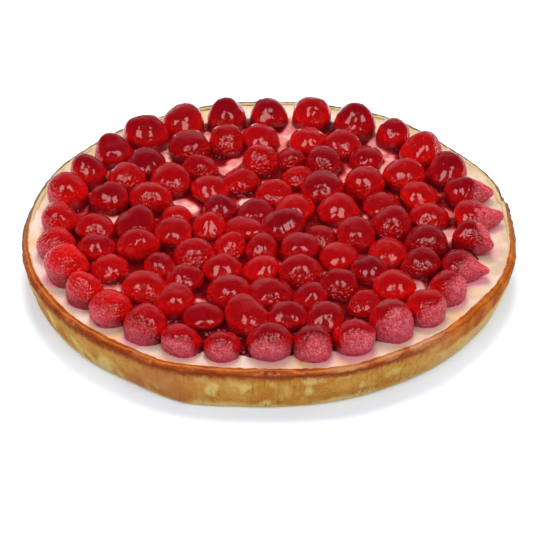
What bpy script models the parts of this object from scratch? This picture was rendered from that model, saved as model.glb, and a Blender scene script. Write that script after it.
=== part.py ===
"""Raspberry tart: a round pastry case filled level with custard, and ninety-eight glazed raspberries.

Units are metres and +Z is up.  The origin is the middle of the tart's underside.  The berries lie in
six rings.  Each berry of the outermost ring is a solid of its own.  Further in, where the berries
press together, each solid is a run of two or three berries that touch.
"""
import math
from collections import namedtuple

import bmesh
import bpy
import numpy as np

MM = 0.001

# ---- Pastry case -------------------------------------------------------------------------------
RIM_RADIUS = 135 * MM          # outer edge of the rim
FOOT_RADIUS = 129 * MM         # the case narrows towards its underside
EDGE_HEIGHT = 22.4 * MM        # height of the outer edge
CREST_HEIGHT = 24.6 * MM       # highest line of the rim
WALL = 4.6 * MM                # thickness of the wall, seen as the width of the rim
FLOOR = 4.5 * MM               # thickness of the pastry under the filling
FOOT_ROUND = 1.5 * MM          # rounding of the lower edge
BELLY = 0.8 * MM               # how far the side bulges halfway up
SIDE_HEIGHTS = (FOOT_ROUND, 8 * MM, 15 * MM, 20 * MM)    # loops up the outside
WALL_HEIGHTS = (FLOOR, 12 * MM, 20 * MM)                 # loops up the inside
AROUND = 64                    # flats round the case and the filling
WAVER = 0.55 * MM              # how far each slow wave of the hand-shaped wall strays
WAVES = (2, 3, 5, 7, 11, 16)   # waves round the rim
FOOT_WAVER = 0.35              # share of the waver that is left at the foot
# Where the hand-pressed wall strays further.  Bearing and half width are in degrees, rim and foot are
# how far out each stands at the middle of the dent.
Dent = namedtuple("Dent", "bearing half_width rim foot")
DENTS = (
    Dent(-2, 16, -1.9 * MM, -0.6 * MM),
    Dent(38, 16, -2.0 * MM, -0.6 * MM),
    Dent(250, 14, 0.0, 3.0 * MM),
    Dent(268, 26, -3.4 * MM, 0.0),
)
# The rim's round top, as (share of the wall in from the edge, drop below the crest, share of the
# height wave).
RIM_PROFILE = ((0.25, 0.7 * MM, 0.8), (0.6, 0.0, 0.8), (0.95, 0.6 * MM, 0.4))
EDGE_RISE = 0.6                # share of the height wave at the outer edge

# ---- Filling -----------------------------------------------------------------------------------
FILL_HEIGHT = 23.7 * MM        # top of the custard
GAP = 0.3 * MM                 # gap kept between solids that touch
FILL_EDGE = 0.6 * MM           # drop of the custard's edge below its top
FILL_EDGE_WIDTH = 1.2 * MM     # width of that sloping edge

# ---- Berries -----------------------------------------------------------------------------------
# One letter stands for one berry, anticlockwise from the ring's first: s small, m medium, l large,
# x long, lying on its side.
WIDTHS = {"s": 18.2 * MM, "m": 20.8 * MM, "l": 23.2 * MM, "x": 21.6 * MM}
LENGTHS = {"s": 18.2 * MM, "m": 20.8 * MM, "l": 23.2 * MM, "x": 26 * MM}
Ring = namedtuple("Ring", "name radius centre bearing solids berries")
RINGS = (
    Ring("outer", 113.0 * MM, (-0.8 * MM, -4.3 * MM), 5.0, 30, "xxllslmmmllmmlmmlmllmslmmlmmxx"),
    Ring("second", 86.8 * MM, (-2.2 * MM, -4.4 * MM), 3.8, 9, "mmlsmmmmllmmmmmlmmxmmslml"),
    Ring("third", 67.5 * MM, (-1.2 * MM, -9.2 * MM), 3.3, 8, "lmlmsmmllllsmllsmmm"),
    Ring("fourth", 47.9 * MM, (-4.8 * MM, -10.2 * MM), 19.3, 6, "llsmmsmlmmlmm"),
    Ring("fifth", 31.1 * MM, (-4.7 * MM, -11.5 * MM), 37.7, 4, "mmsmssms"),
    Ring("middle", 13.0 * MM, (-0.1 * MM, -6.3 * MM), 72.7, 1, "msx"),
)
CROWD = 3.0                    # degrees by which the berries crowd towards the front of each ring
STRAY = 1.5 * MM               # how far a berry strays from its place on the ring
PRESS = 1.4 * MM               # how far berries of one run press into each other
APART = 0.5 * MM               # least room between berries of different solids
PUSH = 0.25                    # share of an overlap that is cleared in one step
HOME = 0.02                    # pull back to the place on the ring, for the first half of the steps
BORDER = 3.0 * MM              # least custard left bare between a berry and the rim
SETTLE_STEPS = 600
RISE = (0.62, 0.86)            # a berry's height above the custard, as a share of its width
OUTWARD = 0.16                 # how far the outer berries lean out, as a share of their height
BERRY_FLATS = 9
BERRY_PROFILE = ((0.0, 0.84), (0.36, 1.0), (0.74, 0.80), (0.94, 0.42))   # (height, radius) shares
STEP = 0.1 * MM                # each next berry of a run sits this much higher, so no flats coincide
LUMP = 0.02                    # unevenness of a berry's outline
SMOOTH_CRUST, SMOOTH_BERRY = 40, 60    # degrees beyond which an edge is shaded sharp


def clear_scene():
    for obj in list(bpy.data.objects):
        bpy.data.objects.remove(obj, do_unlink=True)


def material(name, colour, roughness, coat=0.0):
    mat = bpy.data.materials.new(name)
    mat.use_nodes = True
    shader = mat.node_tree.nodes["Principled BSDF"]
    shader.inputs["Base Color"].default_value = (*colour, 1.0)
    shader.inputs["Roughness"].default_value = roughness
    shader.inputs["Metallic"].default_value = 0.0
    shader.inputs["Coat Weight"].default_value = coat
    return mat


def add_object(name, bm, mat, sharp_angle):
    bmesh.ops.recalc_face_normals(bm, faces=bm.faces)
    mesh = bpy.data.meshes.new(name)
    bm.to_mesh(mesh)
    bm.free()
    mesh.materials.append(mat)
    mesh.shade_smooth()
    mesh.set_sharp_from_angle(angle=math.radians(sharp_angle))
    obj = bpy.data.objects.new(name, mesh)
    bpy.context.scene.collection.objects.link(obj)
    return obj


# ---- Turned shapes -----------------------------------------------------------------------------
def loft(bm, loops, tip=None):
    """Skin closed loops of points in order.  The last loop closes flat, or to a tip."""
    rows = [[bm.verts.new(point) for point in loop] for loop in loops]
    following = [(i + 1) % len(rows[0]) for i in range(len(rows[0]))]
    for lower, upper in zip(rows, rows[1:]):
        for i, j in enumerate(following):
            bm.faces.new((lower[i], lower[j], upper[j], upper[i]))
    bm.faces.new(reversed(rows[0]))
    if tip is None:
        bm.faces.new(rows[-1])
    else:
        summit = bm.verts.new(tip)
        for i, j in enumerate(following):
            bm.faces.new((rows[-1][i], rows[-1][j], summit))


def wave(rng):
    """A slow seeded wave of the bearing, for a rim shaped by hand."""
    phases = rng.uniform(0, 2 * math.pi, len(WAVES))
    sizes = WAVER / np.sqrt(np.arange(1, len(WAVES) + 1))
    return lambda bearing: float(np.sum(sizes * np.cos(np.array(WAVES) * bearing + phases)))


RIM_RNG = np.random.default_rng(12)
RADIUS_WAVE = wave(RIM_RNG)
HEIGHT_WAVE = wave(RIM_RNG)


def dented(bearing, height):
    """How far out the dents move the wall at a bearing, in radians, and a height."""
    up = height / CREST_HEIGHT
    total = 0.0
    for dent in DENTS:
        away = math.remainder(bearing - math.radians(dent.bearing), 2 * math.pi)
        share = abs(away) / math.radians(dent.half_width)
        if share < 1:
            total += math.cos(0.5 * math.pi * share) ** 2 * (dent.foot + (dent.rim - dent.foot) * up)
    return total


def straying(bearing, height):
    """How far the wall strays from round.  The waves are weaker towards the foot."""
    share = FOOT_WAVER + (1 - FOOT_WAVER) * height / CREST_HEIGHT
    return share * RADIUS_WAVE(bearing) + dented(bearing, height)


def turned_loop(radius, height, rise=0.0):
    """A level loop of the case."""
    loop = []
    for i in range(AROUND):
        bearing = 2 * math.pi * i / AROUND
        reach = radius + straying(bearing, height)
        lift = height + rise * HEIGHT_WAVE(bearing)
        loop.append((reach * math.cos(bearing), reach * math.sin(bearing), lift))
    return loop


def outer_radius(height):
    """The wall leans out from foot to edge, with a slight belly."""
    share = height / EDGE_HEIGHT
    belly = BELLY * math.sin(math.pi * share)
    return FOOT_RADIUS + (RIM_RADIUS - FOOT_RADIUS) * share + belly


def inner_radius(height):
    return outer_radius(height) - WALL


def make_crust():
    outside = [turned_loop(FOOT_RADIUS - FOOT_ROUND, 0.0)]
    outside += [turned_loop(outer_radius(h), h) for h in SIDE_HEIGHTS]
    outside += [turned_loop(RIM_RADIUS, EDGE_HEIGHT, EDGE_RISE)]
    rim = [
        turned_loop(RIM_RADIUS - share * WALL, CREST_HEIGHT - drop, rise)
        for share, drop, rise in RIM_PROFILE
    ]
    inside = [turned_loop(inner_radius(h), h) for h in reversed(WALL_HEIGHTS)]
    bm = bmesh.new()
    loft(bm, outside + rim + inside)
    pastry = material("pastry", (0.58, 0.33, 0.11), 0.6)
    return add_object("crust", bm, pastry, SMOOTH_CRUST)


def make_custard():
    heights = (FLOOR + GAP, *WALL_HEIGHTS[1:], FILL_HEIGHT - FILL_EDGE)
    wall = [turned_loop(inner_radius(h) - GAP, h) for h in heights]
    top = [turned_loop(RIM_RADIUS - WALL - FILL_EDGE_WIDTH, FILL_HEIGHT)]
    bm = bmesh.new()
    loft(bm, wall + top)
    custard = material("custard", (0.85, 0.70, 0.56), 0.4)
    return add_object("custard", bm, custard, SMOOTH_CRUST)


# ---- Where the berries lie ---------------------------------------------------------------------
def ring_places(rng):
    """Each berry's place on its ring, its reach, and the number of its solid."""
    places, reaches, solids = [], [], []
    first_solid = 0
    for ring in RINGS:
        count = len(ring.berries)
        bearings = np.radians(ring.bearing) + 2 * np.pi * np.arange(count) / count
        bearings = bearings - math.radians(CROWD) * np.cos(bearings)
        on_ring = np.stack((np.cos(bearings), np.sin(bearings)), axis=1) * ring.radius
        places.append(np.array(ring.centre) + on_ring + rng.uniform(-STRAY, STRAY, (count, 2)))
        reaches.append([0.25 * (WIDTHS[kind] + LENGTHS[kind]) for kind in ring.berries])
        for number, run in enumerate(np.array_split(np.arange(count), ring.solids)):
            solids += [first_solid + number] * len(run)
        first_solid += ring.solids
    return np.concatenate(places), np.concatenate(reaches), np.array(solids)


def settle(places, reaches, solids):
    """Let the berries shoulder each other aside: runs close up, and other neighbours make room."""
    count = len(places)
    numbers = np.arange(count)
    same = solids[:, None] == solids[None, :]
    linked = same & (np.abs(numbers[:, None] - numbers[None, :]) == 1)
    reach = reaches[:, None] + reaches[None, :]
    wanted = np.where(linked, reach - PRESS, reach + APART)
    spots = places.copy()
    for step in range(SETTLE_STEPS):
        away = spots[:, None] - spots[None, :]
        distance = np.linalg.norm(away, axis=2) + np.eye(count)
        short = wanted - distance
        push = np.where(linked, short, np.maximum(short, 0.0))
        np.fill_diagonal(push, 0.0)
        spots = spots + PUSH * np.sum(push[:, :, None] * away / distance[:, :, None], axis=1)
        if step < SETTLE_STEPS // 2:
            spots = spots + HOME * (places - spots)
        out = np.linalg.norm(spots, axis=1)
        rim = [straying(math.atan2(y, x), CREST_HEIGHT) for x, y in spots]
        limit = RIM_RADIUS + np.array(rim) - WALL - BORDER - reaches
        spots = spots * np.minimum(1.0, limit / out)[:, None]
    return spots


# ---- Berries -----------------------------------------------------------------------------------
def add_berry(bm, spot, base, width, length, height, bearing, lean, turn, rng):
    """A dome cut flat where it sits in the custard.  Its length points along the bearing."""
    along = np.array((math.cos(bearing), math.sin(bearing)))
    across = np.array((-along[1], along[0]))
    rows = []
    for rise, share in BERRY_PROFILE:
        row = []
        for i in range(BERRY_FLATS):
            angle = turn - bearing + 2 * math.pi * i / BERRY_FLATS
            size = share * (1 - rng.uniform(0, LUMP))
            offset = along * (0.5 * length * size * math.cos(angle) + lean * rise * height)
            offset = offset + across * (0.5 * width * size * math.sin(angle))
            row.append((spot[0] + offset[0], spot[1] + offset[1], base + rise * height))
        rows.append(row)
    summit = spot + along * lean * height
    loft(bm, rows, tip=(summit[0], summit[1], base + height))
    bmesh.ops.triangulate(bm, faces=bm.faces)


def union(pieces):
    """Join berries that press into each other into one body."""
    body = pieces[0]
    for other in pieces[1:]:
        join = body.modifiers.new("join", "BOOLEAN")
        join.operation = "UNION"
        join.object = other
        other.hide_render = True
        other.display_type = "WIRE"
    return body


def towards_neighbour(spots, run, place):
    """The bearing from a berry to the next one of its run, so that a corner of each meets the other."""
    neighbour = place - 1 if place > run[0] else place + 1
    if neighbour > run[-1]:
        return 0.0
    away = spots[neighbour] - spots[place]
    return math.atan2(away[1], away[0])


def make_run(name, kinds, spots, run, leaning, red, rng):
    """One solid: the berries of a run, joined where they press into each other."""
    pieces = []
    for place in run:
        kind, spot = kinds[place], spots[place]
        height = rng.uniform(*RISE) * WIDTHS[kind]
        bearing = math.atan2(spot[1], spot[0]) if leaning else rng.uniform(0, math.pi)
        lean = OUTWARD if leaning else 0.0
        base = FILL_HEIGHT + GAP + STEP * len(pieces)
        turn = towards_neighbour(spots, run, place)
        bm = bmesh.new()
        add_berry(bm, spot, base, WIDTHS[kind], LENGTHS[kind], height, bearing, lean, turn, rng)
        piece_name = f"{name}_part_{len(pieces) + 1}" if pieces else name
        pieces.append(add_object(piece_name, bm, red, SMOOTH_BERRY))
    union(pieces)


def make_berries():
    rng = np.random.default_rng(317)
    spots = settle(*ring_places(rng))
    red = material("raspberry", (0.45, 0.01, 0.015), 0.25, 1.0)
    first = 0
    for ring in RINGS:
        count = len(ring.berries)
        ring_spots = spots[first:first + count]
        for number, run in enumerate(np.array_split(np.arange(count), ring.solids)):
            name = f"berries_{ring.name}_{number + 1:02d}"
            make_run(name, ring.berries, ring_spots, run, ring.name == "outer", red, rng)
        first += count


clear_scene()
make_crust()
make_custard()
make_berries()
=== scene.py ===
"""Looks of the raspberry tart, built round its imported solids.

The crust, the custard and each run of berries get a finely modelled piece that stands for the plain
solid, and the glaze that lies between the berries is added.  Units are metres and +Z is up.
"""
import itertools
import math
from collections import namedtuple

import bmesh
import bpy
import numpy as np
from mathutils import Matrix, Vector


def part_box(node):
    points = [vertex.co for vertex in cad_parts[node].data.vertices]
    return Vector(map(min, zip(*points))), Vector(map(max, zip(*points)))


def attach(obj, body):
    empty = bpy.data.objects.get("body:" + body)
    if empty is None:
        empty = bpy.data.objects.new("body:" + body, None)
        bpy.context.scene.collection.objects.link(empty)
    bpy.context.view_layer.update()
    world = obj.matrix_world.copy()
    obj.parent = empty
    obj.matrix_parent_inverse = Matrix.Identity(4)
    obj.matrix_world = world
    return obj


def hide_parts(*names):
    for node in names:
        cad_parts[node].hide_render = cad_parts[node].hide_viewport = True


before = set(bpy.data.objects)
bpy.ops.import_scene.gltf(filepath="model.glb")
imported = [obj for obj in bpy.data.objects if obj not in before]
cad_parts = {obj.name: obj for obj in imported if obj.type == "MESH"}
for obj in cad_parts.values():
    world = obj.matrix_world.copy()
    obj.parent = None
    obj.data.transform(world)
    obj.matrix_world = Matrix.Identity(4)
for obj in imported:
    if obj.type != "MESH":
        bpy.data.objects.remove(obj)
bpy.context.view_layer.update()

MM = 0.001

# ---- Sizes shared with the solids --------------------------------------------------------------
RIM_RADIUS = 135 * MM
FOOT_RADIUS = 129 * MM
EDGE_HEIGHT = 22.4 * MM
CREST_HEIGHT = 24.6 * MM
WALL = 4.6 * MM
FOOT_ROUND = 1.5 * MM
BELLY = 0.8 * MM
WAVER = 0.55 * MM
WAVES = (2, 3, 5, 7, 11, 16)
FOOT_WAVER = 0.35
Dent = namedtuple("Dent", "bearing half_width rim foot")
DENTS = (
    Dent(-2, 16, -1.9 * MM, -0.6 * MM),
    Dent(38, 16, -2.0 * MM, -0.6 * MM),
    Dent(250, 14, 0.0, 3.0 * MM),
    Dent(268, 26, -3.4 * MM, 0.0),
)
RIM_SEED = 12
FILL_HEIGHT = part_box("custard")[1].z
BERRY_WAIST = 0.36             # height of a berry's widest level, as a share of its height
OUTWARD = 0.16                 # how far the outer berries lean out, as a share of their height


# ---- Smooth noise ------------------------------------------------------------------------------
LATTICE = 32
LATTICE_VALUES = np.random.default_rng(5).uniform(-1, 1, (LATTICE, LATTICE, LATTICE))


def noise(points, size, seed=0):
    """Smooth noise between -1 and 1, with bumps about as wide as size."""
    at = np.asarray(points) / size + seed * np.array((7.3, 3.1, 5.7))
    cell = np.floor(at).astype(int)
    part = at - cell
    part = part * part * (3 - 2 * part)
    total = np.zeros(len(at))
    for corner in itertools.product((0, 1), repeat=3):
        index = (cell + corner) % LATTICE
        weight = np.prod(np.where(corner, part, 1 - part), axis=1)
        total += weight * LATTICE_VALUES[index[:, 0], index[:, 1], index[:, 2]]
    return total


def smoothstep(low, high, value):
    """0 at low, 1 at high, and smooth between them; low may be the larger one."""
    share = np.clip((value - low) / (high - low), 0, 1)
    return share * share * (3 - 2 * share)


# ---- Mesh and material helpers -----------------------------------------------------------------
def add_piece(name, points, faces, mat, attributes):
    """A visible mesh that rides on the one body, with a number for each point under each attribute."""
    mesh = bpy.data.meshes.new(name)
    mesh.from_pydata(points.tolist(), [], faces if isinstance(faces, list) else faces.tolist())
    mesh.shade_smooth()
    for key, values in attributes.items():
        layer = mesh.attributes.new(key, "FLOAT", "POINT")
        layer.data.foreach_set("value", np.asarray(values, np.float32))
    mesh.materials.append(mat)
    piece = bpy.data.objects.new(name, mesh)
    bpy.context.scene.collection.objects.link(piece)
    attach(piece, "root")
    return piece


def vertex_normals(points, faces):
    corners = points[faces]
    facing = np.cross(corners[:, 1] - corners[:, 0], corners[:, 2] - corners[:, 0])
    normals = np.zeros_like(points)
    for k in range(3):
        np.add.at(normals, faces[:, k], facing)
    return normals / (np.linalg.norm(normals, axis=1, keepdims=True) + 1e-12)


def new_material(name):
    mat = bpy.data.materials.new(name)
    mat.use_nodes = True
    return mat, mat.node_tree, mat.node_tree.nodes["Principled BSDF"]


def put(tree, socket, value):
    """Link a socket, or set its value."""
    if isinstance(value, bpy.types.NodeSocket):
        tree.links.new(value, socket)
    elif isinstance(value, tuple) and len(value) == 3 and socket.type == "RGBA":
        socket.default_value = (*value, 1.0)
    else:
        socket.default_value = value


def add_node(tree, kind, inputs, output=0, **settings):
    node = tree.nodes.new("ShaderNode" + kind)
    for key, value in settings.items():
        setattr(node, key, value)
    for key, value in inputs.items():
        put(tree, node.inputs[key], value)
    return node.outputs[output]


def mix(tree, factor, first, second, blend="MIX"):
    inputs = {0: factor, 6: first, 7: second}
    return add_node(tree, "Mix", inputs, 2, data_type="RGBA", blend_type=blend)


def calc(tree, operation, first, second=0.0):
    return add_node(tree, "Math", {0: first, 1: second}, operation=operation)


def plus(tree, first, second):
    return calc(tree, "ADD", first, second)


def minus(tree, first, second):
    return calc(tree, "SUBTRACT", first, second)


def times(tree, first, second):
    return calc(tree, "MULTIPLY", first, second)


def ramp(tree, value, low, high):
    """0 below low, 1 above high, and smooth between them."""
    inputs = {"Value": value, "From Min": low, "From Max": high}
    return add_node(tree, "MapRange", inputs, interpolation_type="SMOOTHSTEP")


def field(tree, name):
    """A number that each point of the mesh carries."""
    return add_node(tree, "Attribute", {}, 2, attribute_name=name)


def place(tree):
    """Where a point lies, in its piece's own axes."""
    return add_node(tree, "TexCoord", {}, 3)


def along_axis(tree, index):
    """How far a point lies along X (0) or Y (1), in metres."""
    return add_node(tree, "SeparateXYZ", {0: place(tree)}, index)


def stretched(tree, scale):
    return add_node(tree, "Mapping", {"Vector": place(tree), "Scale": scale})


def texture(tree, scale, detail=3.0, roughness=0.55, vector=None):
    inputs = {"Scale": scale, "Detail": detail, "Roughness": roughness}
    inputs["Vector"] = vector if vector is not None else place(tree)
    return add_node(tree, "TexNoise", inputs)


def patches(tree, low, high, scale, detail=3.0, roughness=0.55):
    """0 where a texture is below low, 1 where it is above high, and smooth between them."""
    return ramp(tree, texture(tree, scale, detail, roughness), low, high)


def bump(tree, height, distance, strength=1.0):
    inputs = {"Height": height, "Distance": distance, "Strength": strength}
    return add_node(tree, "Bump", inputs)


# ---- Where the berries are ---------------------------------------------------------------------
Berry = namedtuple("Berry", "centre bearing along across height outer")
SUMMIT_REACH = 7 * MM          # a berry's summit is the highest point within this distance
LEVEL = 0.0001 * MM            # heights nearer than this are the same


def berries_of(node):
    """The berries of one solid, read from its mesh: each summit, with the points nearest to it."""
    points = np.array([vertex.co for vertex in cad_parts[node].data.vertices])
    apart = np.linalg.norm(points[:, None, :2] - points[None, :, :2], axis=2)
    highest = np.where(apart < SUMMIT_REACH, points[None, :, 2], -1).max(axis=1)
    summits = np.unique(points[points[:, 2] >= highest - LEVEL].round(6), axis=0)
    owner = np.linalg.norm(points[:, None, :2] - summits[None, :, :2], axis=2).argmin(axis=1)
    outer = "outer" in node
    found = []
    for number, summit in enumerate(summits):
        height = summit[2] - FILL_HEIGHT
        outward = math.atan2(summit[1], summit[0])
        lean = OUTWARD * height * (1 - BERRY_WAIST) if outer else 0.0
        centre = summit[:2] - lean * np.array((math.cos(outward), math.sin(outward)))
        away = points[owner == number, :2] - centre
        reach = np.linalg.norm(away, axis=1)
        farthest = away[reach.argmax()]
        bearing = outward if outer else math.atan2(farthest[1], farthest[0])
        along = np.abs(away @ (math.cos(bearing), math.sin(bearing))).max()
        across = np.abs(away @ (-math.sin(bearing), math.cos(bearing))).max()
        found.append(Berry(centre, bearing, along, across, height, outer))
    return found


# ---- Berries -----------------------------------------------------------------------------------
GOLDEN = math.pi * (3 - math.sqrt(5))
FINE, COARSE, UNDER = 5600, 2500, 60           # points on an outer berry, an inner berry and underneath
DOME_EDGE, UNDER_EDGE = -0.62, -0.68           # heights where the dense points end and the sparse begin
# How full a berry is beside its solid, and how tall: those of the outer ring, and those inside it.
FULL = {True: 1.04, False: 1.06}
TALL = {True: 1.0, False: 0.93}
BACK_FULLER, BACK_TALLER = 0.04, 0.15          # how much more the outer berries at the back are so
LYING = 1.12                   # a berry whose length is over this times its width lies on its side
DRUPELET = 1.8 * MM            # spacing of the drupelets
DRUPELET_AREA = 0.87           # area of a drupelet, as a share of its spacing squared
DRUPELET_STRAY = 0.65          # how unevenly the drupelets are spread
DRUPELET_HALF = 0.58           # half width of a drupelet's dome, as a share of the spacing
CREASE = 0.45                  # width of the creases between the drupelets, as a share of the spacing
BARE_RELIEF = 0.6 * MM
GLAZE_THICKNESS = 0.5 * MM
GLAZE_LIP = 0.06 * MM          # the raised edge where the glaze stopped running
SOAKED, SOAKED_SPREAD = 208, 28                # bearing round which thin glaze has soaked whole berries
SINK = 1.0 * MM                # how far a berry reaches into the custard


def spiral(count, lowest=-1.0):
    """Evenly spread directions, from straight up down to a lowest height."""
    turn = np.arange(count) + 0.5
    height = 1 - (1 - lowest) * turn / count
    level = np.sqrt(1 - height ** 2)
    return np.stack((level * np.cos(GOLDEN * turn), level * np.sin(GOLDEN * turn), height), axis=1)


def dome(count):
    """Directions that are dense down to below the waist and sparse underneath, and their triangles."""
    under = spiral(UNDER)
    directions = np.concatenate((spiral(count, DOME_EDGE), under[under[:, 2] < UNDER_EDGE]))
    bm = bmesh.new()
    for direction in directions:
        bm.verts.new(direction)
    bm.verts.index_update()
    bmesh.ops.convex_hull(bm, input=bm.verts)
    bmesh.ops.recalc_face_normals(bm, faces=bm.faces)
    faces = np.array([[vertex.index for vertex in face.verts] for face in bm.faces])
    bm.free()
    return directions, faces


DOMES = {True: dome(FINE), False: dome(COARSE)}


def turned(lean, towards, twist):
    """Columns: a berry's own axes, its tip leaning by lean towards a bearing."""
    leaning = Matrix.Rotation(towards, 3, "Z") @ Matrix.Rotation(lean, 3, "Y")
    return np.array(leaning @ Matrix.Rotation(twist, 3, "Z"))


def drupelets(own, radius, rng):
    """For directions in a berry's own axes: the round relief of its drupelets, and their creases, where shade
    is painted.
    """
    count = int(4 * math.pi * radius ** 2 / (DRUPELET_AREA * DRUPELET ** 2))
    seeds = spiral(count) + rng.normal(0, DRUPELET_STRAY / math.sqrt(count), (count, 3))
    seeds /= np.linalg.norm(seeds, axis=1, keepdims=True)
    near = np.sort(np.partition(own @ seeds.T, -2, axis=1)[:, -2:], axis=1)
    distance = np.arccos(np.clip(near, -1, 1)) * radius / DRUPELET
    relief = np.sqrt(np.clip(1 - (distance[:, 1] / DRUPELET_HALF) ** 2, 0, 1))
    crease_shade = 1 - smoothstep(0.0, CREASE, distance[:, 0] - distance[:, 1])
    return relief, crease_shade


def lies(berry):
    return berry.along > LYING * berry.across


def berry_form(berry, rng):
    """A berry's plain form: its points, its triangles, and each point's direction in its own axes."""
    directions, faces = DOMES[berry.outer]
    lying = lies(berry)
    if berry.outer:
        lean = rng.uniform(1.3, 1.5) if lying else rng.uniform(0.3, 0.8)
        towards = rng.normal(0, 0.3)
    else:
        lean = rng.uniform(0.9, 1.4) if lying else rng.uniform(0.0, 0.9)
        towards = rng.uniform(0, 2 * math.pi) if not lying else 0.0
    own = directions @ turned(lean, towards, rng.uniform(0, 2 * math.pi))
    # A rounded cone with a blunt tip, whose lateral radius shrinks towards the tip.
    taper = rng.uniform(0.4, 0.55) if lying and berry.outer else rng.uniform(0.0, 0.2)
    length = rng.uniform(0.98, 1.12) * (1.2 if lying else 1.0)
    level = np.linalg.norm(own[:, :2], axis=1) / (1 - taper * own[:, 2])
    power = rng.uniform(2.0, 2.6)
    radius = (level ** power + np.abs(own[:, 2] / length) ** power) ** (-1 / power)
    offset = rng.uniform(0, 50, 3)
    radius *= 1 + 0.09 * noise(directions + offset, 0.9) + 0.035 * noise(directions + offset, 0.45)
    points = directions * radius[:, None]
    back = smoothstep(0.2, 0.9, math.sin(berry.bearing)) * berry.outer
    full = FULL[berry.outer] + BACK_FULLER * back
    tall = TALL[berry.outer] + BACK_TALLER * back
    points[:, 0] *= full * berry.along / np.abs(points[:, 0]).max()
    points[:, 1] *= full * berry.across / np.abs(points[:, 1]).max()
    points[:, 2] *= tall * berry.height * (1 - BERRY_WAIST) / points[:, 2].max()
    return points, faces, own


def berry_shape(berry, rng):
    """Points of one berry with its glaze, and what its material needs at each."""
    points, faces, own = berry_form(berry, rng)
    normals = vertex_normals(points, faces)
    relief, crease_shade = drupelets(own, (berry.along + berry.across) / 2, rng)
    offset = rng.uniform(0, 1, 3)
    strewn = 0.6 * noise(points + offset, 3.2 * MM) + 0.4 * noise(points + offset, 1.6 * MM)
    if berry.outer:
        # The glaze covers the top and wraps the sides; the outward face stays bare.
        tilt = math.radians(rng.uniform(40, 58))
        poured = normals[:, 2] * math.cos(tilt) - normals[:, 0] * math.sin(tilt)
        poured = poured + 0.3 * normals[:, 1] ** 2 + 0.2 * strewn - rng.uniform(-0.1, 0.35)
        if lies(berry):
            poured = poured - 0.9 * smoothstep(-0.3, 0.7, points[:, 0] / berry.along + 0.7 * strewn)
        ragged = rng.uniform(0.25, 0.7)
        from_soaked = math.degrees(berry.bearing) % 360 - SOAKED
        soaked = math.exp(-(from_soaked / SOAKED_SPREAD) ** 2) * rng.uniform(0.6, 1.0)
        cover = smoothstep(-ragged - 1.2 * soaked, 0.3 * ragged - 0.4 * soaked, poured)
        filled = smoothstep(-0.3 + 0.3 * soaked, 0.4 + 0.5 * ragged + 0.6 * soaked, poured)
    else:
        # Thick on top, thinner on the sides, where the drupelets show through.
        soaked = 0.0
        poured = normals[:, 2] + 0.35 * strewn - rng.uniform(-0.35, 0.45)
        cover = smoothstep(-1.1, -0.6, poured)
        filled = smoothstep(-0.15, 0.65, poured) * rng.uniform(0.75, 1.0)
    ripple = 0.28 * noise(points + offset, 4.5 * MM) + 0.14 * noise(points - offset, 2.2 * MM)
    glaze = GLAZE_THICKNESS + ripple * MM * filled
    bare_surface = BARE_RELIEF * relief
    glazed_surface = 0.7 * BARE_RELIEF + glaze + (0.08 + 0.55 * soaked) * BARE_RELIEF * relief
    lip = GLAZE_LIP * np.exp(-((filled - 0.6) / 0.2) ** 2) * berry.outer
    lift = bare_surface * (1 - filled) + glazed_surface * filled + lip
    points = points + normals * (lift - 0.6 * BARE_RELIEF)[:, None]
    cos, sin = math.cos(berry.bearing), math.sin(berry.bearing)
    spun = points @ np.array(((cos, sin, 0), (-sin, cos, 0), (0, 0, 1)))
    spun[:, :2] += berry.centre
    spun[:, 2] += FILL_HEIGHT + BERRY_WAIST * berry.height
    spun[:, 2] = np.maximum(spun[:, 2], FILL_HEIGHT - SINK)
    # Painted shade near the custard and underneath, and a painted glow, as if lit from inside, where the
    # surface is steep.
    rise = (spun[:, 2] - FILL_HEIGHT) / berry.height
    low = 1 - smoothstep(0.18, 0.62, rise)
    low = np.maximum(low, smoothstep(0.0, -0.35, normals[:, 2]))
    painted_glow = np.exp(-((normals[:, 2] - 0.3) / 0.32) ** 2)
    painted_glow = np.maximum(painted_glow, 0.85 * soaked * (normals[:, 2] > -0.5))
    # The painted glow also covers soaked berries nearly all over.
    crease_shade = crease_shade * (1 - 0.85 * filled) * (1 - 0.7 * soaked)
    # Painted shade in the creases, less where the glaze fills them and on soaked berries.
    tone = np.full(len(spun), rng.uniform(0, 1) * (1 - soaked))
    attributes = {"cover": cover, "thin": 1 - filled, "crease_shade": crease_shade}
    attributes |= {"low": low, "painted_glow": painted_glow, "tone": tone}
    return spun, faces, attributes


def make_berry_pieces(mat):
    """One piece for each run of berries.  Returns every berry."""
    rng = np.random.default_rng(21)
    berries = []
    for node in sorted(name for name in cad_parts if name.startswith("berries")):
        run = berries_of(node)
        shapes = [berry_shape(berry, rng) for berry in run]
        starts = np.cumsum([0] + [len(points) for points, _, _ in shapes[:-1]])
        points = np.concatenate([points for points, _, _ in shapes])
        faces = np.concatenate([faces + start for (_, faces, _), start in zip(shapes, starts)])
        keys = shapes[0][2]
        attributes = {key: np.concatenate([fields[key] for _, _, fields in shapes]) for key in keys}
        piece = add_piece("glazed_" + node, points, faces, mat, attributes)
        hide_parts(node)
        berries += run
    return berries


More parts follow.
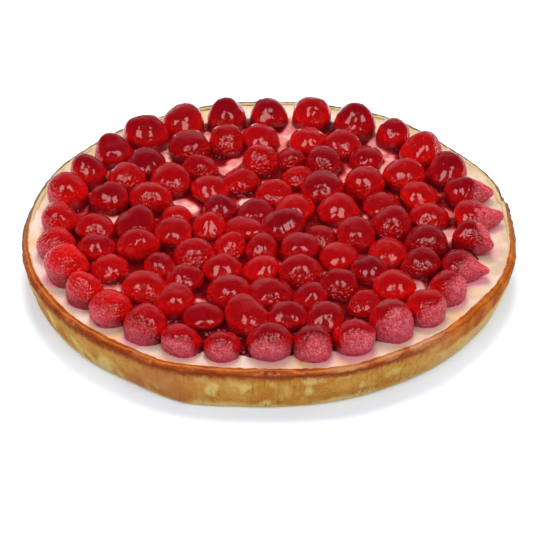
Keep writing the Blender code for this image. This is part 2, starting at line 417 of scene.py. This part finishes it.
def berry_material():
    """Clear red glaze over dark fruit, and downy pink where the glaze hasn't reached, with painted shade in
    the creases and underneath and a painted glow where the surface is steep.
    """
    mat, tree, shader = new_material("raspberry_glazed")
    cover, crease_shade, tone = field(tree, "cover"), field(tree, "crease_shade"), field(tree, "tone")
    low, painted_glow, thin = field(tree, "low"), field(tree, "painted_glow"), field(tree, "thin")
    # Painted light: a shaded red for the tops and a lit red where the surface is steep, mixed by the painted
    # glow; the tone differs from berry to berry.
    shaded_red = mix(tree, tone, (0.38, 0.002, 0.003), (0.18, 0.001, 0.005))
    lit = mix(tree, tone, (0.82, 0.005, 0.003), (0.50, 0.003, 0.005))
    glazed = mix(tree, painted_glow, shaded_red, lit)
    # Painted shade in the drupelets' creases.
    glazed = mix(tree, times(tree, crease_shade, 0.6), glazed, (0.12, 0.0, 0.004))
    # Painted shade near the custard and underneath.
    glazed = mix(tree, times(tree, low, 0.7), glazed, (0.12, 0.0, 0.008))
    mottled = patches(tree, 0.35, 0.65, 420.0, roughness=0.7)
    downy = mix(tree, mottled, (0.61, 0.018, 0.034), (0.84, 0.15, 0.18))
    # Painted shade in the drupelets' creases, on the bare fruit.
    bare = mix(tree, times(tree, crease_shade, 0.7), downy, (0.30, 0.004, 0.016))
    # Painted shade near the custard and underneath, on the bare fruit.
    bare = mix(tree, times(tree, low, 0.4), bare, (0.50, 0.04, 0.10))
    put(tree, shader.inputs["Base Color"], mix(tree, cover, bare, glazed))
    damp = times(tree, patches(tree, 0.47, 0.6, 330.0, 2.0), 0.85)
    wet = calc(tree, "MAXIMUM", cover, damp)
    wet = times(tree, wet, minus(tree, 1.0, times(tree, low, 0.6)))
    put(tree, shader.inputs["Roughness"], minus(tree, 0.6, times(tree, wet, 0.49)))
    put(tree, shader.inputs["Coat Weight"], times(tree, wet, 0.3))
    shader.inputs["Coat Roughness"].default_value = 0.06
    shader.inputs["Specular IOR Level"].default_value = 0.6
    shader.inputs["Specular Tint"].default_value = (1.0, 0.6, 0.6, 1.0)
    shader.inputs["Subsurface Weight"].default_value = 0.12
    shader.inputs["Subsurface Radius"].default_value = (1.0, 0.15, 0.15)
    shader.inputs["Subsurface Scale"].default_value = 2.0 * MM
    inputs = {"Vector": place(tree), "Scale": 520.0, "Smoothness": 0.3}
    cells = add_node(tree, "TexVoronoi", inputs, 0, feature="SMOOTH_F1")
    bumps = times(tree, minus(tree, 1.0, cells), thin)
    hairs = times(tree, texture(tree, 1000.0, 2.0), minus(tree, 1.0, cover))
    height = plus(tree, bumps, times(tree, hairs, 0.7))
    put(tree, shader.inputs["Normal"], bump(tree, height, 0.8 * MM, 0.8))
    return mat


# ---- Glaze between the berries -----------------------------------------------------------------
GLAZE_STEP = 0.9 * MM
GLAZE_CLIMB = 4.8 * MM         # how high the glaze climbs a berry's foot
GLAZE_REACH = 1.9 * MM         # how fast it falls away from the berry
GLAZE_TINT = 2.6 * MM          # how far from a berry it is deep red, partly thicker glaze and partly painted shade
GLAZE_FILM = 0.25 * MM         # its thickness on bare custard
GLAZE_POOL = 2.4 * MM          # how much deeper it lies inside the outer ring
GLAZE_POOL_EDGE = (84 * MM, 106 * MM)
GLAZE_EDGE = (114 * MM, 119 * MM)
GLAZE_DEEPEST = 6 * MM
GLAZE_UNDER = 2.0 * MM         # how far it runs in under a berry
GLAZE_SUNK = 0.6 * MM          # how far below the custard its edges go
GLAZE_BELOW = 0.8 * MM         # the level of its underside below the custard
FOOT_SHARE = 0.92              # a berry's outline at its foot, as a share of its waist


def gaps_to(berries, spots):
    """Distance from each spot to each berry's foot, below 0 inside it."""
    columns = []
    for berry in berries:
        away = spots - berry.centre
        cos, sin = math.cos(berry.bearing), math.sin(berry.bearing)
        along = (away @ (cos, sin)) / berry.along
        across = (away @ (-sin, cos)) / berry.across
        share = np.hypot(along, across) + 1e-9
        columns.append(np.linalg.norm(away, axis=1) * (1 - FOOT_SHARE / share))
    return np.stack(columns, axis=1)


def make_glaze(berries, mat):
    """One closed sheet, level in the gaps, that climbs the berries' feet."""
    reach = GLAZE_EDGE[1] + 2 * MM
    side = np.arange(-reach, reach, GLAZE_STEP)
    x, y = np.meshgrid(side, side, indexing="ij")
    spots = np.stack((x.ravel(), y.ravel()), axis=1)
    gaps = gaps_to(berries, spots)
    near = np.exp(-np.clip(gaps, -1 * MM, None) / GLAZE_REACH).sum(axis=1)
    flat = np.column_stack((spots, np.zeros(len(spots))))
    film = GLAZE_FILM * (1 + 0.8 * noise(flat, 7 * MM))
    from_middle = np.linalg.norm(spots, axis=1) + 2 * MM * noise(flat, 9 * MM)
    pool = GLAZE_POOL * (1 - smoothstep(*GLAZE_POOL_EDGE, from_middle))
    film += pool * (1 + 0.3 * noise(flat, 11 * MM, 4))
    fade = smoothstep(*GLAZE_EDGE, from_middle)
    depth = GLAZE_DEEPEST * (np.tanh((film + GLAZE_CLIMB * near) / GLAZE_DEEPEST) - fade)
    depth += 0.25 * MM * noise(flat, 2.5 * MM)
    inside = (gaps.min(axis=1) > -GLAZE_UNDER) & (depth > -GLAZE_SUNK)
    inside = inside.reshape(x.shape)
    number = np.arange(len(spots)).reshape(x.shape)
    corners = np.stack((number[:-1, :-1], number[1:, :-1], number[1:, 1:], number[:-1, 1:]), axis=-1)
    kept = inside[:-1, :-1] & inside[1:, :-1] & inside[1:, 1:] & inside[:-1, 1:]
    cells = corners[kept]
    used, cells = np.unique(cells, return_inverse=True)
    cells = cells.reshape(-1, 4)
    top = np.column_stack((spots[used], FILL_HEIGHT + depth[used]))
    bottom = np.column_stack((spots[used], np.full(len(used), FILL_HEIGHT - GLAZE_BELOW)))
    edges = np.concatenate([cells[:, [k, (k + 1) % 4]] for k in range(4)])
    backwards = {(b, a) for a, b in edges.tolist()}
    rim = [(a, b) for a, b in edges.tolist() if (a, b) not in backwards]
    count = len(used)
    faces = cells.tolist() + (cells[:, ::-1] + count).tolist()
    faces += [(b, a, a + count, b + count) for a, b in rim]
    points = np.concatenate((top, bottom))
    # Deep red beside the berries: partly thicker glaze, partly painted shade between the berries.
    tint = 0.75 * np.exp(-np.clip(gaps[used], 0, None) / GLAZE_TINT).sum(axis=1)
    tint = tint + 0.5 * noise(flat[used], 8 * MM, 21) + 0.15 * noise(flat[used], 3 * MM, 22)
    thickness_and_shade = np.tile(np.clip(tint / 1.5, 0, 1), 2)
    add_piece("glaze", points, faces, mat, {"thickness_and_shade": thickness_and_shade})


def glaze_material():
    """Pink over the custard where it is thin, and deeper red beside the berries, partly thicker glaze and
    partly painted shade between them.
    """
    mat, tree, shader = new_material("glaze_on_custard")
    thickness_and_shade = field(tree, "thickness_and_shade")
    cream = mix(tree, patches(tree, 0.4, 0.65, 90.0), (0.76, 0.22, 0.20), (0.84, 0.50, 0.45))
    # Darker red to near black near the berries: partly thicker glaze, partly painted shade.
    thin = mix(tree, ramp(tree, thickness_and_shade, 0.08, 0.2), cream, (0.52, 0.04, 0.045))
    thick = mix(tree, ramp(tree, thickness_and_shade, 0.16, 0.27), thin, (0.17, 0.002, 0.003))
    deep = mix(tree, ramp(tree, thickness_and_shade, 0.25, 0.6), thick, (0.075, 0.0, 0.002))
    put(tree, shader.inputs["Base Color"], deep)
    shader.inputs["Roughness"].default_value = 0.06
    shader.inputs["Specular IOR Level"].default_value = 0.6
    shader.inputs["Specular Tint"].default_value = (1.0, 0.42, 0.45, 1.0)
    put(tree, shader.inputs["Normal"], bump(tree, texture(tree, 320.0, 1.0), 1.2 * MM, 1.0))
    return mat


# ---- Outline of the case -----------------------------------------------------------------------
def rim_waves():
    """The slow waves of the hand-shaped rim, for its radius and its height."""
    rng = np.random.default_rng(RIM_SEED)
    found = []
    for _ in range(2):
        phases = rng.uniform(0, 2 * math.pi, len(WAVES))
        sizes = WAVER / np.sqrt(np.arange(1, len(WAVES) + 1))
        found.append((phases, sizes))
    return found


(RADIUS_PHASES, RADIUS_SIZES), (HEIGHT_PHASES, HEIGHT_SIZES) = rim_waves()


def wave(bearings, phases, sizes):
    return (sizes * np.cos(np.asarray(bearings)[..., None] * WAVES + phases)).sum(axis=-1)


def waver(bearings, heights):
    """How far the case strays from round at a bearing and a height."""
    up = heights / CREST_HEIGHT
    stray = (FOOT_WAVER + (1 - FOOT_WAVER) * up) * wave(bearings, RADIUS_PHASES, RADIUS_SIZES)
    for dent in DENTS:
        away = np.remainder(bearings - math.radians(dent.bearing) + np.pi, 2 * np.pi) - np.pi
        share = np.clip(np.abs(away) / math.radians(dent.half_width), 0, 1)
        stray = stray + np.cos(0.5 * np.pi * share) ** 2 * (dent.foot + (dent.rim - dent.foot) * up)
    return stray


def outer_radius(height):
    share = height / EDGE_HEIGHT
    return FOOT_RADIUS + (RIM_RADIUS - FOOT_RADIUS) * share + BELLY * np.sin(np.pi * share)


# ---- Custard -----------------------------------------------------------------------------------
CUSTARD_AROUND = 420
CUSTARD_OVERLAP = 1.3 * MM     # how far it can run over the inner edge of the rim
CUSTARD_INNER = 98 * MM        # inside this the custard lies under glaze and can be coarse
CUSTARD_ROWS = (14, 38)        # rings of points inside it and outside it
CUSTARD_DEPTH = 6 * MM


def make_custard(berries, mat):
    """A disc that wavers with the case, rises at the berries and the rim, and has soaked up juice."""
    outer = RIM_RADIUS - WALL + CUSTARD_OVERLAP
    inner_radii = np.linspace(0, CUSTARD_INNER, CUSTARD_ROWS[0])[1:]
    radii = np.concatenate((inner_radii, np.linspace(CUSTARD_INNER, outer, CUSTARD_ROWS[1])[1:]))
    bearings = 2 * np.pi * np.arange(CUSTARD_AROUND) / CUSTARD_AROUND
    radius, bearing = np.meshgrid(radii, bearings, indexing="ij")
    reach = radius + waver(bearing, FILL_HEIGHT) * radius / outer
    spots = np.stack((reach * np.cos(bearing), reach * np.sin(bearing)), axis=-1).reshape(-1, 2)
    flat = np.column_stack((spots, np.zeros(len(spots))))
    gap = gaps_to(berries, spots).min(axis=1)
    height = FILL_HEIGHT - 0.15 * MM + 0.22 * MM * noise(flat, 9 * MM) + 0.1 * MM * noise(flat, 3 * MM, 2)
    height += 0.5 * MM * np.exp(-np.clip(gap, 0, None) / (1.2 * MM))
    to_rim = outer - radius.ravel()
    height += 0.35 * MM * np.exp(-np.clip(to_rim - CUSTARD_OVERLAP, 0, None) / (1.0 * MM))
    height += 0.22 * MM * (noise(flat, 5 * MM, 23) + np.cos(bearing.ravel()))
    sunk = 0.5 * MM * (1 - 0.8 * smoothstep(20 * MM, 80 * MM, spots[:, 1]))
    height -= sunk * smoothstep(CUSTARD_OVERLAP, 0, to_rim)
    top = np.column_stack((spots, height))
    number = np.arange(len(spots)).reshape(len(radii), CUSTARD_AROUND)
    after = np.roll(number, -1, axis=1)
    faces = np.stack((number[:-1], number[1:], after[1:], after[:-1]), axis=-1).reshape(-1, 4).tolist()
    count = len(spots)
    floor = FILL_HEIGHT - CUSTARD_DEPTH
    below = top[number[-1]] * (1, 1, 0) + (0, 0, floor)
    points = np.concatenate((top, below, [(0, 0, FILL_HEIGHT), (0, 0, floor)]))
    under = count + np.arange(CUSTARD_AROUND)
    top_middle, under_middle = count + CUSTARD_AROUND, count + CUSTARD_AROUND + 1
    for i in range(CUSTARD_AROUND):
        j = (i + 1) % CUSTARD_AROUND
        faces.append((number[-1][i], under[i], under[j], number[-1][j]))
        faces.append((number[0][i], number[0][j], top_middle))
        faces.append((under[j], under[i], under_middle))
    stained = np.exp(-np.clip(gap, 0, None) / (1.3 * MM)) * (0.5 + 0.7 * noise(flat, 8 * MM, 5))
    # Juice has pooled here and there, but not at the right.
    pooled = smoothstep(0.1, 0.6, noise(flat, 15 * MM, 9)) * np.exp(-np.clip(gap, 0, None) / (6 * MM))
    pooled = pooled * (1 - smoothstep(30 * MM, 80 * MM, spots[:, 0]))
    juice = np.clip(stained + 0.7 * pooled, 0, 1)
    # Browned a little where it meets the rim at the back.
    toast = smoothstep(9 * MM, 2.5 * MM, to_rim) * smoothstep(10 * MM, 90 * MM, spots[:, 1])
    toast = toast * np.clip(0.75 + 0.6 * noise(flat, 14 * MM, 24), 0, 1)
    nothing = np.zeros(CUSTARD_AROUND + 2)
    attributes = {"juice": np.append(juice, nothing), "toast": np.append(toast, nothing)}
    piece = add_piece("custard_filling", points, faces, mat, attributes)
    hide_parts("custard")


def custard_material():
    """Pale pink, creamier at the right, with tan patches and pink juice."""
    mat, tree, shader = new_material("custard_cream")
    mottled = patches(tree, 0.35, 0.65, 70.0)
    rosy = mix(tree, mottled, (0.77, 0.51, 0.38), (0.86, 0.67, 0.57))
    creamy = mix(tree, mottled, (0.60, 0.42, 0.28), (0.77, 0.59, 0.44))
    pale = mix(tree, ramp(tree, along_axis(tree, 0), 0.04, 0.1), rosy, creamy)
    tan = mix(tree, patches(tree, 0.46, 0.72, 45.0), pale, (0.80, 0.50, 0.26))
    pink = mix(tree, ramp(tree, field(tree, "juice"), 0.1, 0.9), tan, (0.88, 0.38, 0.46))
    put(tree, shader.inputs["Base Color"], mix(tree, field(tree, "toast"), pink, (0.58, 0.45, 0.24)))
    shader.inputs["Roughness"].default_value = 0.35
    shader.inputs["Coat Weight"].default_value = 0.5
    shader.inputs["Coat Roughness"].default_value = 0.12
    shader.inputs["Subsurface Weight"].default_value = 0.2
    shader.inputs["Subsurface Radius"].default_value = (1.0, 0.5, 0.3)
    shader.inputs["Subsurface Scale"].default_value = 1.5 * MM
    put(tree, shader.inputs["Normal"], bump(tree, texture(tree, 300.0), 0.5 * MM, 0.6))
    return mat


# ---- Crust -------------------------------------------------------------------------------------
CRUST_AROUND = 1150
NOTCH = Dent(13.5, 3.5, -1.3 * MM, 0.0)        # a small step in the rim, sharp on its near side
CREST = 0.6                    # where the rim is highest, as a share of the way in across it
CREST_FALL = 0.6 * MM          # how far it falls from there to the custard
RIM_WAVER = 0.7                # how much of the height's waves the rim takes
RIM_ROWS, SIDE_ROWS = 13, 24
# Bearings over which each of these begins, and over which it ends.
BEADS = ((195, 210), (275, 290))               # glaze that has run onto the rim, in beads
TAN = ((280, 288), (308, 316))                 # a rim that is less baked
BROWNED = ((-62, -38), (-5, 45))               # browning that runs down over the side
BLOTCH = ((228, 240), (248, 258))              # a reddish side
LINED = ((250, 262), (296, 312))               # fine upright streaks


def crust_profile():
    """Radius, height, share of the height wave, and kind (0 side, 1 rim, 2 inside) down the section."""
    rows = [(FOOT_RADIUS - 60 * MM, 0.0, 0, 0), (FOOT_RADIUS - 8 * MM, 0.0, 0, 0)]
    rows += [(FOOT_RADIUS - FOOT_ROUND, 0.0, 0, 0), (FOOT_RADIUS - 0.4 * MM, 0.5 * MM, 0, 0)]
    rows += [(outer_radius(h), h, 0, 0) for h in np.linspace(FOOT_ROUND, EDGE_HEIGHT - 1 * MM, SIDE_ROWS)]
    for share in np.linspace(0, 1, RIM_ROWS):
        drop = (CREST_HEIGHT - EDGE_HEIGHT) * (1 - math.sin(math.pi / 2 * min(1, share / CREST)))
        drop += CREST_FALL * max(0, (share - CREST) / (1 - CREST)) ** 2
        rows.append((RIM_RADIUS - share * WALL, CREST_HEIGHT - drop, RIM_WAVER, 1))
    rows += [(RIM_RADIUS - WALL - 0.2 * MM, FILL_HEIGHT - d, 0, 2) for d in (1 * MM, 5 * MM)]
    return np.array(rows)


def notch(bearing):
    """How far the rim steps in, all at once and then slowly out again."""
    away = np.degrees(np.remainder(bearing + np.pi, 2 * np.pi) - np.pi) - NOTCH.bearing
    near = smoothstep(-1.15 * NOTCH.half_width, -0.75 * NOTCH.half_width, away)
    far = 1 - smoothstep(-0.4 * NOTCH.half_width, 2.2 * NOTCH.half_width, away)
    return NOTCH.rim * near * far


def within(band, degrees):
    """1 inside a band of bearings, 0 outside it."""
    begins, ends = band
    return smoothstep(*begins, degrees) * (1 - smoothstep(*ends, degrees))


def make_crust(mat):
    """The case as one turned surface, wavering, streaked and crumbled, with its fields of browning."""
    rows = crust_profile()
    bearings = 2 * np.pi * np.arange(CRUST_AROUND) / CRUST_AROUND
    radius = rows[:, 0][:, None] + waver(bearings[None], rows[:, 1][:, None])
    height = rows[:, 1][:, None] + rows[:, 2][:, None] * wave(bearings, HEIGHT_PHASES, HEIGHT_SIZES)
    kind = np.repeat(rows[:, 3], CRUST_AROUND)
    across = np.repeat(np.interp(rows[:, 0], (RIM_RADIUS - WALL, RIM_RADIUS), (1, 0)), CRUST_AROUND)
    bearing = np.tile(bearings, len(rows))
    radius, height = radius.ravel(), height.ravel()
    spots = np.column_stack((radius * np.cos(bearing), radius * np.sin(bearing), height))
    unrolled = np.column_stack((RIM_RADIUS * np.cos(bearing), RIM_RADIUS * np.sin(bearing), 0.12 * height))
    side = (kind == 0) * smoothstep(0, 3 * MM, height)
    rim = kind == 1
    up = np.clip(height / CREST_HEIGHT, 0, 1)
    swell = 0.4 * MM * noise(spots, 11 * MM) + 0.25 * MM * noise(spots, 4 * MM, 1)
    streaks = 0.18 * MM * noise(unrolled, 1.5 * MM, 3) + 0.1 * MM * noise(spots, 1.3 * MM, 4)
    # Pastry that has crumbled a little along the outer edge.
    ragged = smoothstep(0.78, 0.98, up) * (across < 0.25)
    crumbled = 0.5 * MM * noise(unrolled, 2.4 * MM, 11) + 0.35 * MM * noise(unrolled, 5.5 * MM, 12)
    radius = radius + side * (swell + streaks) + rim * 0.25 * MM * noise(spots, 2.2 * MM, 6)
    radius = radius + ragged * crumbled + notch(bearing) * smoothstep(0.5, 0.8, up)
    degrees = np.degrees(bearing)
    beads = smoothstep(0.05, 0.45, noise(unrolled, 2.2 * MM, 14))
    beads = beads * smoothstep(-0.3, 0.2, noise(unrolled, 8 * MM, 15))
    beads = beads * within(BEADS, degrees) * rim * np.exp(-((across - 0.2) / 0.13) ** 2)
    height = height + rim * (0.3 * MM * noise(spots, 2.6 * MM, 7) + 0.16 * MM * noise(spots, 1.2 * MM, 8))
    height = height + 1.0 * MM * beads
    tan = within(TAN, degrees) * smoothstep(-0.7, 0.0, noise(spots, 6 * MM, 18))
    from_right = np.remainder(degrees + 180, 360) - 180
    strayed = from_right + 12 * noise(spots, 14 * MM, 25)
    browned = smoothstep(*BROWNED[0], from_right) * (1 - smoothstep(*BROWNED[1], strayed))
    blotch = within(BLOTCH, degrees) * smoothstep(-0.5, 0.3, noise(spots, 9 * MM, 16))
    lined = (0.25 + 0.6 * within(LINED, degrees)) * smoothstep(-0.6, 0.2, noise(spots, 12 * MM, 17))
    points = np.column_stack((radius * np.cos(bearing), radius * np.sin(bearing), np.maximum(height, 0)))
    number = np.arange(len(points)).reshape(len(rows), CRUST_AROUND)
    after = np.roll(number, -1, axis=1)
    faces = np.stack((number[:-1], after[:-1], after[1:], number[1:]), axis=-1).reshape(-1, 4).tolist()
    low_middle, high_middle = len(points), len(points) + 1
    points = np.concatenate((points, [(0, 0, 0), (0, 0, rows[-1, 1])]))
    for i in range(CRUST_AROUND):
        j = (i + 1) % CRUST_AROUND
        faces.append((number[0][j], number[0][i], low_middle))
        faces.append((number[-1][i], number[-1][j], high_middle))
    level = np.repeat(rows[:, 1] / EDGE_HEIGHT, CRUST_AROUND)
    fields = {"rim": rim, "rim_across": across * rim, "up": level, "beads": beads}
    fields |= {"blotch": blotch, "browned": browned, "tan": tan, "lined": lined}
    attributes = {key: np.append(values, (0, 0)) for key, values in fields.items()}
    piece = add_piece("pastry_case", points, faces, mat, attributes)
    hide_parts("crust")


def side_colour(tree, up):
    """Golden pastry with pale and reddish blotches, fine upright streaks and a pale foot."""
    blotch, lined = field(tree, "blotch"), field(tree, "lined")
    mottled = patches(tree, 0.35, 0.65, 95.0, 4.0, 0.6)
    golden = mix(tree, mottled, (0.45, 0.18, 0.024), (0.56, 0.29, 0.06))
    yellow = mix(tree, patches(tree, 0.52, 0.68, 85.0, 1.0), golden, (0.63, 0.45, 0.145))
    red = mix(tree, times(tree, blotch, 0.8), yellow, (0.45, 0.15, 0.045))
    red = mix(tree, times(tree, ramp(tree, up, 0.72, 0.95), 0.5), red, (0.44, 0.15, 0.028))
    line = plus(tree, up, times(tree, texture(tree, 60.0, 2.0), 0.5))
    foot = mix(tree, minus(tree, 1.0, ramp(tree, line, 0.26, 0.44)), red, (0.64, 0.46, 0.16))
    foot = mix(tree, times(tree, field(tree, "browned"), 0.6), foot, (0.72, 0.52, 0.21))
    upright = texture(tree, 1.0, 2.0, 0.6, stretched(tree, (750.0, 750.0, 40.0)))
    fine = times(tree, ramp(tree, upright, 0.5, 0.72), lined)
    return mix(tree, fine, foot, (0.27, 0.095, 0.012))


def rim_colour(tree, across):
    """Toasted on top, with pinkish tan stretches, a dark inner line and a pale inner slope at the back."""
    mottled = patches(tree, 0.35, 0.65, 110.0, 4.0)
    dark = mix(tree, mottled, (0.29, 0.045, 0.004), (0.47, 0.105, 0.01))
    orange = mix(tree, mottled, (0.38, 0.08, 0.005), (0.58, 0.165, 0.016))
    back = along_axis(tree, 1)
    right = ramp(tree, along_axis(tree, 0), 0.03, 0.1)
    tan = mix(tree, field(tree, "tan"), mix(tree, right, dark, orange), (0.56, 0.25, 0.105))
    # Wavy darker and lighter lines that follow the rim, as in layered pastry.
    layers = calc(tree, "SINE", plus(tree, times(tree, across, 13.0), times(tree, texture(tree, 42.0), 11.0)))
    scorched = mix(tree, times(tree, ramp(tree, layers, 0.1, 0.95), 0.5), tan, (0.25, 0.035, 0.004))
    lighter = minus(tree, 1.0, ramp(tree, layers, -0.95, -0.3))
    lighter = times(tree, lighter, minus(tree, 0.4, times(tree, right, 0.32)))
    baked = mix(tree, lighter, scorched, (0.66, 0.27, 0.08))
    line = mix(tree, ramp(tree, across, 0.8, 0.95), baked, (0.25, 0.095, 0.022))
    behind = ramp(tree, back, -0.05, 0.07)
    line = mix(tree, behind, line, (0.24, 0.12, 0.04))
    wander = plus(tree, across, times(tree, texture(tree, 120.0), 0.3))
    inner = ramp(tree, plus(tree, wander, times(tree, behind, 0.62)), 1.02, 1.15)
    slope = mix(tree, inner, line, mix(tree, behind, (0.66, 0.47, 0.31), (0.60, 0.45, 0.24)))
    # The scorched outer edge, which is all that shows of the crest at the back.
    torn = plus(tree, across, times(tree, texture(tree, 230.0, 3.0, 0.65), 0.5))
    torn = minus(tree, torn, times(tree, ramp(tree, back, 0.03, 0.11), 0.22))
    scorch = times(tree, minus(tree, 1.0, ramp(tree, torn, 0.72, 0.84)), behind)
    return mix(tree, scorch, slope, (0.17, 0.09, 0.04))


def crust_material():
    """Baked pastry: the side's and the rim's colours, the line between them, beads of glaze with a painted
    highlight, and crumb.
    """
    mat, tree, shader = new_material("baked_pastry")
    up, rim, across, beads = (field(tree, name) for name in ("up", "rim", "rim_across", "beads"))
    # At the right the browning runs down over the top of the side.
    wavy = plus(tree, up, times(tree, texture(tree, 70.0), 0.3))
    browned = field(tree, "browned")
    lapped = times(tree, ramp(tree, wavy, 0.65, 0.82), browned)
    mottled = patches(tree, 0.35, 0.65, 110.0, 4.0)
    toasted = mix(tree, mottled, (0.36, 0.075, 0.005), (0.55, 0.155, 0.016))
    side = mix(tree, lapped, side_colour(tree, up), toasted)
    colour = mix(tree, rim, side, rim_colour(tree, across))
    # A dark, ragged line where the side meets the rim.
    level = plus(tree, up, times(tree, across, 0.6))
    level = plus(tree, level, times(tree, texture(tree, 260.0, 3.0, 0.6), 0.22))
    over = minus(tree, 1.0, ramp(tree, level, 1.14, 1.26))
    edge = times(tree, ramp(tree, level, 0.95, 1.09), over)
    edge = times(tree, edge, minus(tree, 1.0, browned))
    colour = mix(tree, times(tree, edge, 0.85), colour, (0.22, 0.028, 0.004))
    # Beads of glaze, painted a light pink that is partly their glaze and partly a painted highlight.
    colour = mix(tree, times(tree, beads, 0.4), colour, (0.62, 0.2, 0.11))
    grain = texture(tree, 900.0, 3.0, 0.7)
    speck = mix(tree, ramp(tree, grain, 0.3, 0.7), (0.86, 0.84, 0.82), (1.08, 1.07, 1.05))
    put(tree, shader.inputs["Base Color"], mix(tree, 1.0, colour, speck, "MULTIPLY"))
    put(tree, shader.inputs["Roughness"], minus(tree, 0.7, times(tree, rim, 0.2)))
    put(tree, shader.inputs["Coat Weight"], beads)
    shader.inputs["Coat Roughness"].default_value = 0.1
    shader.inputs["Specular IOR Level"].default_value = 0.06
    put(tree, shader.inputs["Normal"], bump(tree, grain, 0.3 * MM, 0.5))
    return mat


# ---- Stage, lights and camera ------------------------------------------------------------------
CAMERA_DISTANCE = 1.62
CAMERA_HEIGHT_ANGLE = math.radians(34.69)
CAMERA_ROLL = math.radians(0.85)
CAMERA_LENS = 196.1
SENSOR = 36.0
FLOOR_REACH = 6.0
FLOOR_DROP = 0.2 * MM          # the floor lies this far below the tart
AIM = Vector((0.0003, 0.0, -0.0029))


def make_camera():
    data = bpy.data.cameras.new("camera")
    data.lens = CAMERA_LENS
    data.sensor_width = SENSOR
    camera = bpy.data.objects.new("camera", data)
    bpy.context.scene.collection.objects.link(camera)
    away = Vector((0, -math.cos(CAMERA_HEIGHT_ANGLE), math.sin(CAMERA_HEIGHT_ANGLE)))
    camera.location = AIM + away * CAMERA_DISTANCE
    looking = (-away).to_track_quat("-Z", "Y").to_matrix()
    camera.rotation_euler = (looking @ Matrix.Rotation(-CAMERA_ROLL, 3, "Z")).to_euler()
    bpy.context.scene.camera = camera


def add_light(name, bearing, elevation, distance, size, power, glossy=True, diffuse=True):
    """A softbox at a bearing (0 is towards the camera, anticlockwise from above), facing the tart."""
    data = bpy.data.lights.new(name, "AREA")
    data.shape = "RECTANGLE"
    data.size, data.size_y = size
    data.energy = power
    light = bpy.data.objects.new(name, data)
    bpy.context.scene.collection.objects.link(light)
    turn = math.radians(bearing) - math.pi / 2
    rise = math.radians(elevation)
    way = Vector((math.cos(turn) * math.cos(rise), math.sin(turn) * math.cos(rise), math.sin(rise)))
    light.location = way * distance
    light.rotation_euler = (-way).to_track_quat("-Z", "Y").to_euler()
    light.visible_glossy = glossy
    light.visible_diffuse = diffuse


def make_stage():
    corners = [(x * FLOOR_REACH, y * FLOOR_REACH, 0) for x, y in ((-1, -1), (1, -1), (1, 1), (-1, 1))]
    mesh = bpy.data.meshes.new("floor")
    mesh.from_pydata(corners, [], [(0, 1, 2, 3)])
    mat, _, shader = new_material("pale_floor")
    shader.inputs["Base Color"].default_value = (0.87, 0.92, 1.0, 1.0)
    shader.inputs["Roughness"].default_value = 0.9
    shader.inputs["Specular IOR Level"].default_value = 0.1
    shader.inputs["Emission Color"].default_value = (0.70, 0.84, 1.0, 1.0)
    shader.inputs["Emission Strength"].default_value = 0.17
    mesh.materials.append(mat)
    floor = bpy.data.objects.new("floor", mesh)
    bpy.context.scene.collection.objects.link(floor)
    floor.location.z = -FLOOR_DROP


def make_world():
    """Mirrored by the glaze: pale behind the tart and dark elsewhere.  Otherwise an even soft light."""
    world = bpy.data.worlds.new("studio")
    world.use_nodes = True
    tree = world.node_tree
    behind = add_node(tree, "SeparateXYZ", {0: add_node(tree, "TexCoord", {}, 0)}, 1)
    mirrored = mix(tree, ramp(tree, behind, 0.35, 0.95), (0.02, 0.018, 0.018), (0.38, 0.37, 0.38))
    soft = mix(tree, add_node(tree, "LightPath", {}, "Is Glossy Ray"), (0.33, 0.33, 0.34), mirrored)
    seen = mix(tree, add_node(tree, "LightPath", {}, "Is Camera Ray"), soft, (1.0, 1.0, 1.0))
    put(tree, tree.nodes["Background"].inputs["Color"], seen)
    bpy.context.scene.world = world


def make_lights():
    """Two tall softboxes are only mirrored by the glaze; the others light the tart and aren't mirrored."""
    add_light("softbox_left", -36, 46, 1.6, (0.62, 1.1), 9, diffuse=False)
    add_light("softbox_right", 36, 46, 1.6, (0.62, 1.1), 9, diffuse=False)
    add_light("front", 4, 56, 2.0, (2.2, 1.4), 20, glossy=False)
    add_light("fill_left", -118, 38, 1.8, (1.2, 0.9), 7, glossy=False)
    add_light("fill_right", 118, 38, 1.8, (1.2, 0.9), 5, glossy=False)
    add_light("overhead", 180, 68, 1.8, (0.7, 0.7), 21, glossy=False)


berries = make_berry_pieces(berry_material())
make_glaze(berries, glaze_material())
make_custard(berries, custard_material())
make_crust(crust_material())
make_camera()
make_stage()
make_world()
make_lights()
bpy.context.scene.view_settings.view_transform = "Standard"
